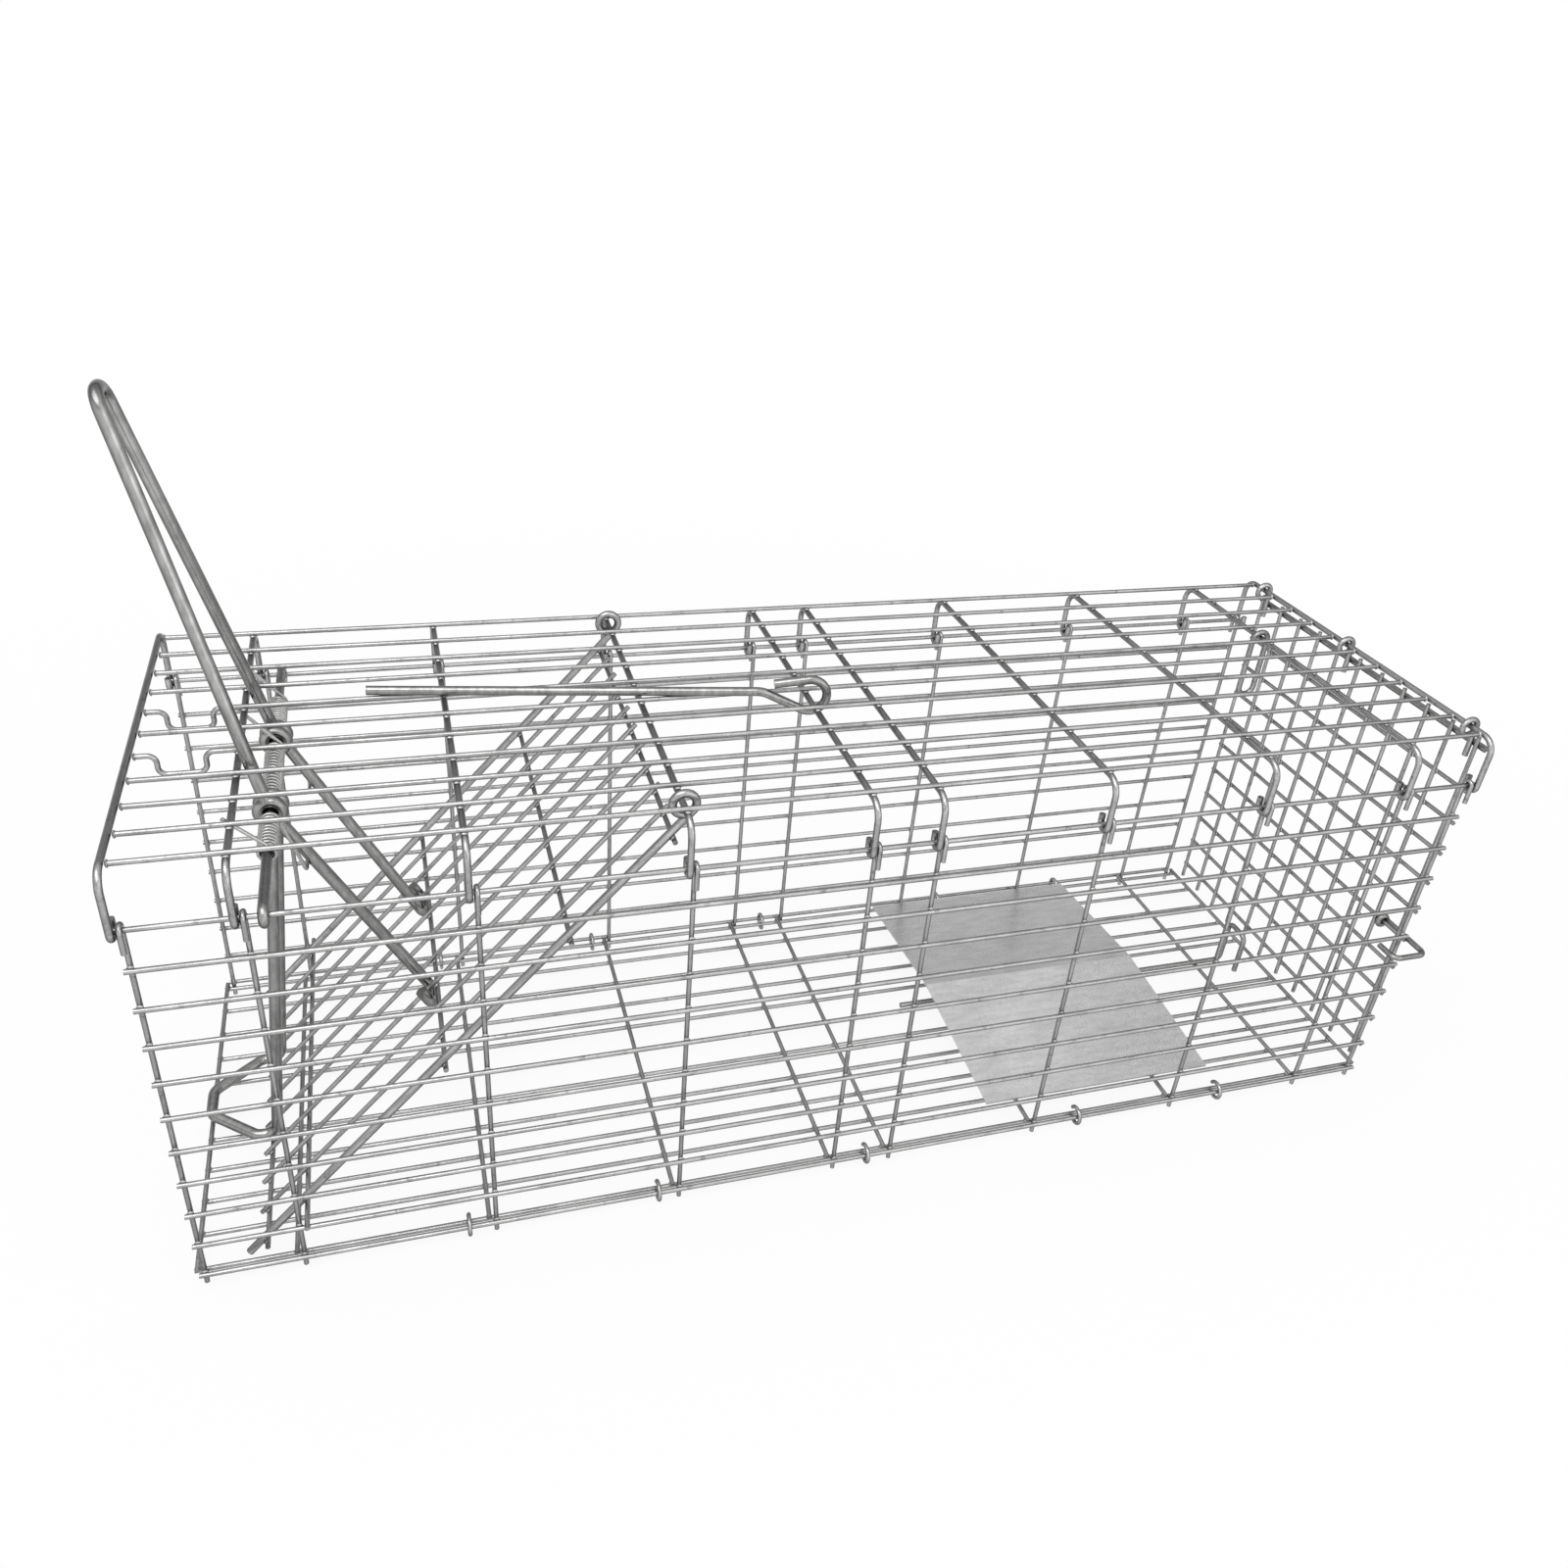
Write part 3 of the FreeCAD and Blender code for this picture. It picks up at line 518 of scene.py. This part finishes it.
class CAGETRAP_OT_cage_welds(bpy.types.Operator):
    """Weld nuggets where the wires of the cage's four panels cross."""

    bl_idname = "cagetrap.cage_welds"
    bl_label = "Cage welds"

    def execute(self, context):
        long_y = bands("top_long_wires", 1) + bands("top_dipped_wires", 1)
        low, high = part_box("top_long_wires")
        inner = bands("top_cross_front", 0)[1:] + bands("top_cross_rear", 0)
        inner += [middle(name, 0) for name in ("door_hinge_wire", "rod_hinge_wire", "catch_wire")]
        places = [(Vector((x, y, low.z)), Vector((0, 0, 1))) for x in inner for y in long_y]
        for x in (low.x, high.x):
            places += [(Vector((x, y, (low.z + high.z) / 2)), Vector((1, 0, 0))) for y in long_y]
        weld_panel("top_welds", "cage", places)
        for side, sign in (("near", -1), ("far", 1)):
            low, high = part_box("side_long_" + side)
            join_y = high.y if sign < 0 else low.y
            rows = bands("side_long_" + side, 2)
            places = [(Vector((x, join_y, z)), Vector((0, 1, 0)))
                      for x in bands("side_uprights_" + side, 0) for z in rows]
            weld_panel("side_welds_" + side, "cage", places)
        join_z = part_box("bottom_long_wires")[1].z
        places = [(Vector((x, y, join_z)), Vector((0, 0, 1)))
                  for x in bands("bottom_cross_wires", 0) for y in bands("bottom_long_wires", 1)]
        weld_panel("bottom_welds", "cage", places)
        return {"FINISHED"}


class CAGETRAP_OT_door_welds(bpy.types.Operator):
    """Weld nuggets where the wires of the two doors cross."""

    bl_idname = "cagetrap.door_welds"
    bl_label = "Door welds"

    def execute(self, context):
        join_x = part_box("rear_door_columns")[1].x
        places = [(Vector((join_x, y, z)), Vector((1, 0, 0)))
                  for y in bands("rear_door_columns", 1) for z in bands("rear_door_rows", 2)]
        weld_panel("rear_door_welds", "rear_door", places)
        slope = door_slope()
        face = Vector((-math.sin(slope), 0, math.cos(slope)))
        wires_y = bands("door_long_wires", 1) + bands("door_side_wires", 1)
        cross_x = bands("door_cross_wires", 0)
        cross_z = bands("door_cross_wires", 2)
        lift = face * (cross_x[0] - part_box("door_cross_wires")[0].x)
        places = [(Vector((x, y, z)) + lift, face)
                  for x, z in zip(cross_x, cross_z) for y in wires_y]
        weld_panel("entry_door_welds", "entry_door", places)
        return {"FINISHED"}


def take_ring(piece, centre, normal, radius):
    """Selects a tube's open ring round a point."""
    reach = radius * RING_REACH
    bpy.ops.mesh.select_all(action="DESELECT")
    mesh = bmesh.from_edit_mesh(piece.data)
    for vertex in mesh.verts:
        off = vertex.co - centre
        if off.length < reach and abs(off.dot(normal)) < reach / 4:
            vertex.select_set(True)
    mesh.select_flush(True)
    bmesh.update_edit_mesh(piece.data)


def draw_out(way, length):
    """Draws the selected ring out along a straight line."""
    bpy.ops.mesh.extrude_region_move(TRANSFORM_OT_translate={"value": way * length})


def cut_end(radius):
    """Closes a wire's end and breaks its rim."""
    bpy.ops.mesh.edge_face_add()
    bpy.ops.mesh.bevel(offset=radius * BURR_SHARE, segments=BURR_STEPS)


def round_axle(angle):
    """Direction out from the axle at an angle."""
    return Vector((math.cos(angle), 0, math.sin(angle)))


def along_turn(angle, rise):
    """Direction of a spring's wire at an angle, where it climbs along the axle by rise."""
    way = Vector((-math.sin(angle), rise, math.cos(angle)))
    return way.normalized()


def wound_spring(name, start_y, end_y, angle, sweep, arm_side):
    """A circle screwed round the axle, its two ends drawn out as the arm and the tail."""
    size = bpy.context.scene.cagetrap_spring
    radius = size.wire / 2
    bpy.ops.object.select_all(action="DESELECT")
    first = round_axle(angle) * size.coil + Vector((0, start_y, 0))
    bpy.ops.mesh.primitive_circle_add(vertices=TUBE_SIDES, radius=radius, location=first,
                                      rotation=(0, -angle, 0))
    piece = bpy.context.object
    piece.name = name
    bpy.ops.object.transform_apply(location=True, rotation=True, scale=True)
    screw = piece.modifiers.new("Winding", "SCREW")
    screw.axis = "Y"
    screw.angle = -sweep
    screw.screw_offset = end_y - start_y
    screw.steps = screw.render_steps = round(sweep / math.tau * TURN_STEPS)
    bpy.ops.object.modifier_apply(modifier="Winding")
    rise = (end_y - start_y) / sweep / size.coil
    bpy.ops.object.mode_set(mode="EDIT")
    bpy.ops.mesh.select_mode(type="VERT")
    back = -along_turn(angle, rise)
    over = Vector((0, arm_side, 0))
    turn = back.angle(over)
    bend = size.arm_bend
    cut = bend * math.tan(turn / 2)
    take_ring(piece, first, along_turn(angle, 0), radius)
    draw_out(back, size.arm - cut)
    inward = (over - back * math.cos(turn)).normalized()
    centre = first + back * (size.arm - cut) + inward * bend
    bpy.ops.mesh.spin(steps=BEND_STEPS, angle=turn, center=centre,
                      axis=over.cross(back).normalized())
    draw_out(over, size.arm_cross - cut)
    cut_end(radius)
    last_angle = angle + sweep
    last = round_axle(last_angle) * size.coil + Vector((0, end_y, 0))
    take_ring(piece, last, along_turn(last_angle, 0), radius)
    draw_out(along_turn(last_angle, rise), size.tail)
    cut_end(radius)
    bpy.ops.mesh.select_all(action="SELECT")
    bpy.ops.mesh.remove_doubles(threshold=MERGE_WITHIN)
    bpy.ops.mesh.normals_make_consistent(inside=False)
    bpy.ops.transform.translate(value=joints["lever_pivot"]["pos_m"])
    bpy.ops.object.mode_set(mode="OBJECT")
    return piece


class CAGETRAP_OT_springs(bpy.types.Operator):
    """The lever's pair of springs and the lock frame's spring between them."""

    bl_idname = "cagetrap.springs"
    bl_label = "Wound springs"

    def execute(self, context):
        size = context.scene.cagetrap_spring
        far = wound_spring("lever_coil_far", size.lever_from, size.lever_to, size.lever_angle,
                           size.lever_sweep, -1)
        only_selected(far)
        bpy.ops.object.duplicate()
        near = context.object
        near.name = "lever_coil_near"
        bpy.ops.object.mode_set(mode="EDIT")
        bpy.ops.mesh.select_all(action="SELECT")
        bpy.ops.transform.resize(value=(1, -1, 1), center_override=(0, 0, 0))
        bpy.ops.mesh.normals_make_consistent(inside=False)
        bpy.ops.object.mode_set(mode="OBJECT")
        lock = wound_spring("lock_coil", -size.lock_half, size.lock_half, size.lock_angle,
                            size.lock_sweep, -1)
        for piece, node in zip((far, near, lock), SPRINGS):
            only_selected(piece)
            bpy.ops.object.shade_smooth_by_angle(angle=SPRING_SMOOTH)
            piece.data.materials.clear()
            piece.data.materials.append(bpy.data.materials["Zinc spring wire"])
            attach(piece, "cage")
            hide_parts(node)
        return {"FINISHED"}


def lamp(name, place, power, size):
    """A soft rectangular lamp that shines on the object."""
    data = bpy.data.lights.new(name, "AREA")
    data.shape = "RECTANGLE"
    data.size, data.size_y = size
    data.energy = power
    thing = bpy.data.objects.new(name, data)
    bpy.context.scene.collection.objects.link(thing)
    thing.location = place
    way = Vector(LAMP_TARGET) - Vector(place)
    thing.rotation_euler = way.to_track_quat("-Z", "Y").to_euler()


class CAGETRAP_OT_studio(bpy.types.Operator):
    """Pale floor, soft lamps and the camera."""

    bl_idname = "cagetrap.studio"
    bl_label = "Studio"

    def execute(self, context):
        stage = context.scene.cagetrap_stage
        bpy.ops.object.select_all(action="DESELECT")
        bpy.ops.mesh.primitive_plane_add(size=stage.floor_size, location=(0, 0, 0))
        floor = context.object
        floor.name = "studio_floor"
        material = bpy.data.materials.new("Studio floor")
        material.use_nodes = True
        tree = material.node_tree
        tree.nodes.clear()
        path = add(tree, "ShaderNodeLightPath")
        seen = add(tree, "ShaderNodeMath", [(0, path.outputs["Is Camera Ray"]),
                   (1, path.outputs["Is Glossy Ray"])], operation="ADD")
        seen_all = add(tree, "ShaderNodeMath", [(0, seen.outputs[0]),
                       (1, path.outputs["Is Transmission Ray"])], operation="ADD", use_clamp=True)
        place = add(tree, "ShaderNodeTexCoord")
        away = add(tree, "ShaderNodeVectorMath", [(0, place.outputs["Object"])], operation="LENGTH")
        whiter = add(tree, "ShaderNodeMapRange", [("Value", away.outputs["Value"])],
                     interpolation_type="SMOOTHSTEP", in_From_Min=WHITER_FROM,
                     in_From_Max=WHITER_TO, in_To_Min=NEAR_WHITE, in_To_Max=1.0)
        share = add(tree, "ShaderNodeMath", [(0, seen_all.outputs[0]), (1, whiter.outputs[0])],
                    operation="MULTIPLY")
        lit = add(tree, "ShaderNodeBsdfPrincipled", in_Roughness=FLOOR_ROUGH,
                  in_Base_Color=(*stage.floor_colour, 1))
        pale = add(tree, "ShaderNodeEmission", in_Color=(1, 1, 1, 1), in_Strength=1.0)
        mixed = add(tree, "ShaderNodeMixShader", [(0, share.outputs[0]), (1, lit.outputs[0]),
                    (2, pale.outputs[0])])
        add(tree, "ShaderNodeOutputMaterial", [("Surface", mixed.outputs[0])])
        floor.data.materials.append(material)
        world = bpy.data.worlds.new("Studio room")
        context.scene.world = world
        world.use_nodes = True
        tree = world.node_tree
        tree.nodes.clear()
        way = add(tree, "ShaderNodeTexCoord")
        split = add(tree, "ShaderNodeSeparateXYZ", [("Vector", way.outputs["Generated"])])
        height = add(tree, "ShaderNodeValToRGB", [("Fac", split.outputs["Z"])])
        ramp = height.color_ramp
        ramp.interpolation = "EASE"
        for index, (place, shade) in enumerate(ROOM_SHADES):
            stop = ramp.elements[index] if index < 2 else ramp.elements.new(place)
            stop.position = place
            stop.color = (shade, shade, shade, 1)
        room = add(tree, "ShaderNodeBackground", [("Color", height.outputs[0])], in_Strength=1.0)
        add(tree, "ShaderNodeOutputWorld", [("Surface", room.outputs[0])])
        lamp("key_lamp", KEY_PLACE, stage.key_power, KEY_SIZE)
        lamp("fill_lamp", FILL_PLACE, stage.fill_power, FILL_SIZE)
        data = bpy.data.cameras.new("photo_camera")
        data.sensor_width = SENSOR_WIDTH
        data.lens = stage.camera_lens
        data.clip_start = NEAREST_SEEN
        camera = bpy.data.objects.new("photo_camera", data)
        context.scene.collection.objects.link(camera)
        camera.location = stage.camera_place
        camera.rotation_euler = stage.camera_turn
        context.scene.camera = camera
        context.scene.view_settings.view_transform = "Standard"
        return {"FINISHED"}


STEPS = ["finishes", "cage_welds", "door_welds", "springs", "studio"]


class CAGETRAP_PT_steps(bpy.types.Panel):
    """Lists the steps and their sizes in the sidebar."""

    bl_label = "Cage trap"
    bl_idname = "CAGETRAP_PT_steps"
    bl_space_type = "VIEW_3D"
    bl_region_type = "UI"
    bl_category = "Cage trap"

    def draw(self, context):
        column = self.layout.column()
        for step in STEPS:
            column.operator("cagetrap." + step)
        for settings in ("cagetrap_finish", "cagetrap_weld", "cagetrap_spring", "cagetrap_stage"):
            group = getattr(context.scene, settings)
            box = self.layout.box()
            for key in group.__annotations__:
                box.prop(group, key)


CLASSES = [FinishSettings, WeldSettings, SpringSettings, StageSettings, CAGETRAP_OT_finishes,
           CAGETRAP_OT_cage_welds, CAGETRAP_OT_door_welds, CAGETRAP_OT_springs,
           CAGETRAP_OT_studio, CAGETRAP_PT_steps]


def register():
    for item in CLASSES:
        bpy.utils.register_class(item)
    scene = bpy.types.Scene
    scene.cagetrap_finish = bpy.props.PointerProperty(type=FinishSettings)
    scene.cagetrap_weld = bpy.props.PointerProperty(type=WeldSettings)
    scene.cagetrap_spring = bpy.props.PointerProperty(type=SpringSettings)
    scene.cagetrap_stage = bpy.props.PointerProperty(type=StageSettings)


def unregister():
    scene = bpy.types.Scene
    del scene.cagetrap_finish
    del scene.cagetrap_weld
    del scene.cagetrap_spring
    del scene.cagetrap_stage
    for item in reversed(CLASSES):
        bpy.utils.unregister_class(item)


def main():
    register()
    for step in STEPS:
        getattr(bpy.ops.cagetrap, step)()


if __name__ == "__main__":
    main()
